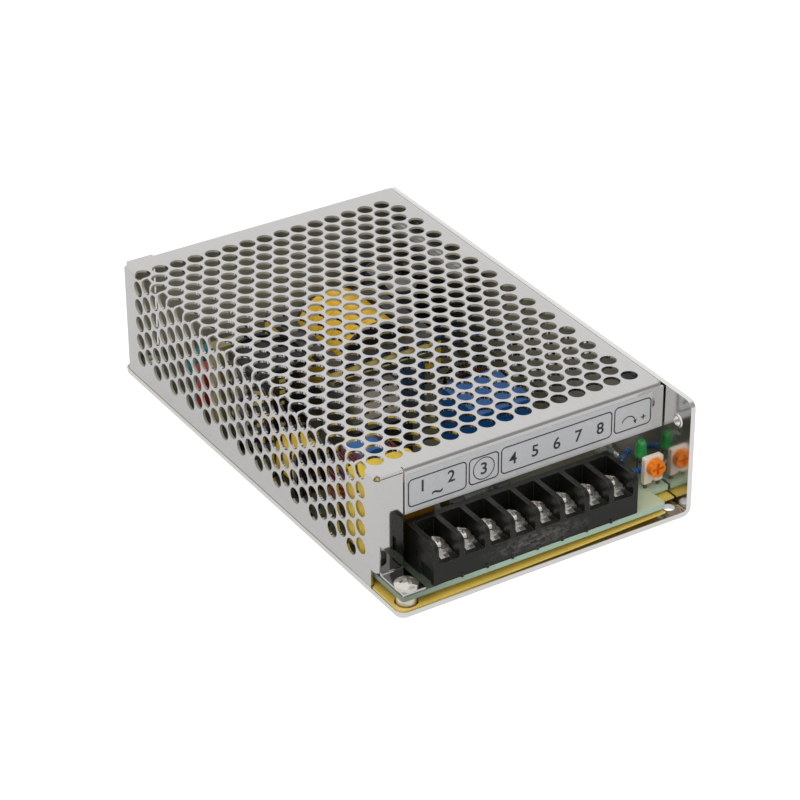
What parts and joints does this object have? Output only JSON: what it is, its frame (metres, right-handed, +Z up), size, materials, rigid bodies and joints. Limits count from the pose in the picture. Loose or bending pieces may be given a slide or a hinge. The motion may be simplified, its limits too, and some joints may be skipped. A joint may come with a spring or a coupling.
{
  "type": "enclosed switching power supply",
  "caption": "Enclosed switching power supply with a perforated folded cover, a bright chassis, a black barrier terminal block, a trimmer and a green lamp.",
  "frame": {"origin": "middle of the underside of the case", "axes": "+X to the right seen from the terminals, toward the chassis side wall, +Y to the rear, +Z up"},
  "size_m": [0.097, 0.159, 0.038],
  "materials": {
    "polished_aluminium": "polished",
    "satin_sheet": "satin",
    "yellow_film": "gloss",
    "board_laminate": "matte",
    "plated_steel": "satin",
    "label_white": "matte",
    "black_plastic": "matte",
    "cream_plastic": "matte",
    "orange_plastic": "gloss",
    "green_lens": "gloss",
    "yellow_case": "satin",
    "ferrite": "matte",
    "copper_enamel": "gloss",
    "yellow_tape": "satin",
    "black_sleeve": "gloss",
    "blue_coating": "gloss",
    "clear_glass": "clear",
    "blue_case": "satin",
    "mill_aluminium": "mill",
    "blue_sleeve": "gloss",
    "olive_case": "satin",
    "red_case": "satin",
    "teal_coating": "satin"
  },
  "bodies": {
    "unit": {"chassis": "polished_aluminium", "cover": "satin_sheet", "insulating_film": "yellow_film", "circuit_board": "board_laminate", "board_standoffs": "plated_steel", "board_screws": "plated_steel", "tab_screw": "plated_steel", "side_screws": "plated_steel", "terminal_label": "label_white", "terminal_block": "black_plastic", "contact_plates": "plated_steel", "trimmer_body": "cream_plastic", "indicator_lamp": "green_lens", "box_capacitor": "yellow_case", "line_choke_core": "ferrite", "line_choke_windings": "copper_enamel", "line_choke_base": "black_plastic", "filter_coil_bobbin": "cream_plastic", "filter_coil_winding": "yellow_tape", "bulk_capacitor": "black_sleeve", "bridge_rectifier": "black_plastic", "disc_capacitors": "blue_coating", "fuse_tube": "clear_glass", "fuse_caps": "plated_steel", "fuse_clips": "plated_steel", "relay": "blue_case", "transformer_core": "ferrite", "transformer_bobbin": "black_plastic", "transformer_winding": "yellow_tape", "transformer_band": "yellow_tape", "front_heatsink": "mill_aluminium", "power_transistor": "black_plastic", "side_heatsink": "mill_aluminium", "output_rectifier": "black_plastic", "output_capacitors": "blue_sleeve", "output_choke_core": "ferrite", "output_choke_winding": "copper_enamel", "tall_film_capacitor": "olive_case", "low_film_capacitor": "red_case", "varistor": "teal_coating", "small_chips": "black_plastic", "resistors": "blue_coating", "mini_fuse": "clear_glass"},
    "clamp_washer_1": {"clamp_washer_1": "plated_steel"},
    "clamp_washer_2": {"clamp_washer_2": "plated_steel"},
    "clamp_washer_3": {"clamp_washer_3": "plated_steel"},
    "clamp_washer_4": {"clamp_washer_4": "plated_steel"},
    "clamp_washer_5": {"clamp_washer_5": "plated_steel"},
    "clamp_washer_6": {"clamp_washer_6": "plated_steel"},
    "clamp_washer_7": {"clamp_washer_7": "plated_steel"},
    "clamp_washer_8": {"clamp_washer_8": "plated_steel"},
    "terminal_screw_1": {"terminal_screw_1": "plated_steel"},
    "terminal_screw_2": {"terminal_screw_2": "plated_steel"},
    "terminal_screw_3": {"terminal_screw_3": "plated_steel"},
    "terminal_screw_4": {"terminal_screw_4": "plated_steel"},
    "terminal_screw_5": {"terminal_screw_5": "plated_steel"},
    "terminal_screw_6": {"terminal_screw_6": "plated_steel"},
    "terminal_screw_7": {"terminal_screw_7": "plated_steel"},
    "terminal_screw_8": {"terminal_screw_8": "plated_steel"},
    "trimmer_rotor": {"trimmer_rotor": "orange_plastic"}
  },
  "joints": [
    {"name": "washer_lift_1", "type": "slide", "parent": "unit", "child": "clamp_washer_1", "axis": [0, 0, 1], "range_m": [0, 0.002]},
    {"name": "screw_turn_1", "type": "hinge", "parent": "clamp_washer_1", "child": "terminal_screw_1", "pos_m": [-0.03218, -0.0714, 0.0137], "axis": [0, 0, 1], "range_deg": [0, 1440]},
    {"name": "washer_lift_2", "type": "slide", "parent": "unit", "child": "clamp_washer_2", "axis": [0, 0, 1], "range_m": [0, 0.002]},
    {"name": "screw_turn_2", "type": "hinge", "parent": "clamp_washer_2", "child": "terminal_screw_2", "pos_m": [-0.02392, -0.0714, 0.0137], "axis": [0, 0, 1], "range_deg": [0, 1440]},
    {"name": "washer_lift_3", "type": "slide", "parent": "unit", "child": "clamp_washer_3", "axis": [0, 0, 1], "range_m": [0, 0.002]},
    {"name": "screw_turn_3", "type": "hinge", "parent": "clamp_washer_3", "child": "terminal_screw_3", "pos_m": [-0.01568, -0.0714, 0.0137], "axis": [0, 0, 1], "range_deg": [0, 1440]},
    {"name": "washer_lift_4", "type": "slide", "parent": "unit", "child": "clamp_washer_4", "axis": [0, 0, 1], "range_m": [0, 0.002]},
    {"name": "screw_turn_4", "type": "hinge", "parent": "clamp_washer_4", "child": "terminal_screw_4", "pos_m": [-0.00743, -0.0714, 0.0137], "axis": [0, 0, 1], "range_deg": [0, 1440]},
    {"name": "washer_lift_5", "type": "slide", "parent": "unit", "child": "clamp_washer_5", "axis": [0, 0, 1], "range_m": [0, 0.002]},
    {"name": "screw_turn_5", "type": "hinge", "parent": "clamp_washer_5", "child": "terminal_screw_5", "pos_m": [0.00082, -0.0714, 0.0137], "axis": [0, 0, 1], "range_deg": [0, 1440]},
    {"name": "washer_lift_6", "type": "slide", "parent": "unit", "child": "clamp_washer_6", "axis": [0, 0, 1], "range_m": [0, 0.002]},
    {"name": "screw_turn_6", "type": "hinge", "parent": "clamp_washer_6", "child": "terminal_screw_6", "pos_m": [0.00907, -0.0714, 0.0137], "axis": [0, 0, 1], "range_deg": [0, 1440]},
    {"name": "washer_lift_7", "type": "slide", "parent": "unit", "child": "clamp_washer_7", "axis": [0, 0, 1], "range_m": [0, 0.002]},
    {"name": "screw_turn_7", "type": "hinge", "parent": "clamp_washer_7", "child": "terminal_screw_7", "pos_m": [0.01733, -0.0714, 0.0137], "axis": [0, 0, 1], "range_deg": [0, 1440]},
    {"name": "washer_lift_8", "type": "slide", "parent": "unit", "child": "clamp_washer_8", "axis": [0, 0, 1], "range_m": [0, 0.002]},
    {"name": "screw_turn_8", "type": "hinge", "parent": "clamp_washer_8", "child": "terminal_screw_8", "pos_m": [0.02558, -0.0714, 0.0137], "axis": [0, 0, 1], "range_deg": [0, 1440]},
    {"name": "trimmer_turn", "type": "hinge", "parent": "unit", "child": "trimmer_rotor", "pos_m": [0.0424, -0.0697, 0.0129], "axis": [0, -1, 0], "range_deg": [-130, 130]}
  ],
  "couplings": [
    {"joint": "screw_turn_1", "follows": "washer_lift_1", "rad_per_m": 12566},
    {"joint": "screw_turn_2", "follows": "washer_lift_2", "rad_per_m": 12566},
    {"joint": "screw_turn_3", "follows": "washer_lift_3", "rad_per_m": 12566},
    {"joint": "screw_turn_4", "follows": "washer_lift_4", "rad_per_m": 12566},
    {"joint": "screw_turn_5", "follows": "washer_lift_5", "rad_per_m": 12566},
    {"joint": "screw_turn_6", "follows": "washer_lift_6", "rad_per_m": 12566},
    {"joint": "screw_turn_7", "follows": "washer_lift_7", "rad_per_m": 12566},
    {"joint": "screw_turn_8", "follows": "washer_lift_8", "rad_per_m": 12566}
  ]
}
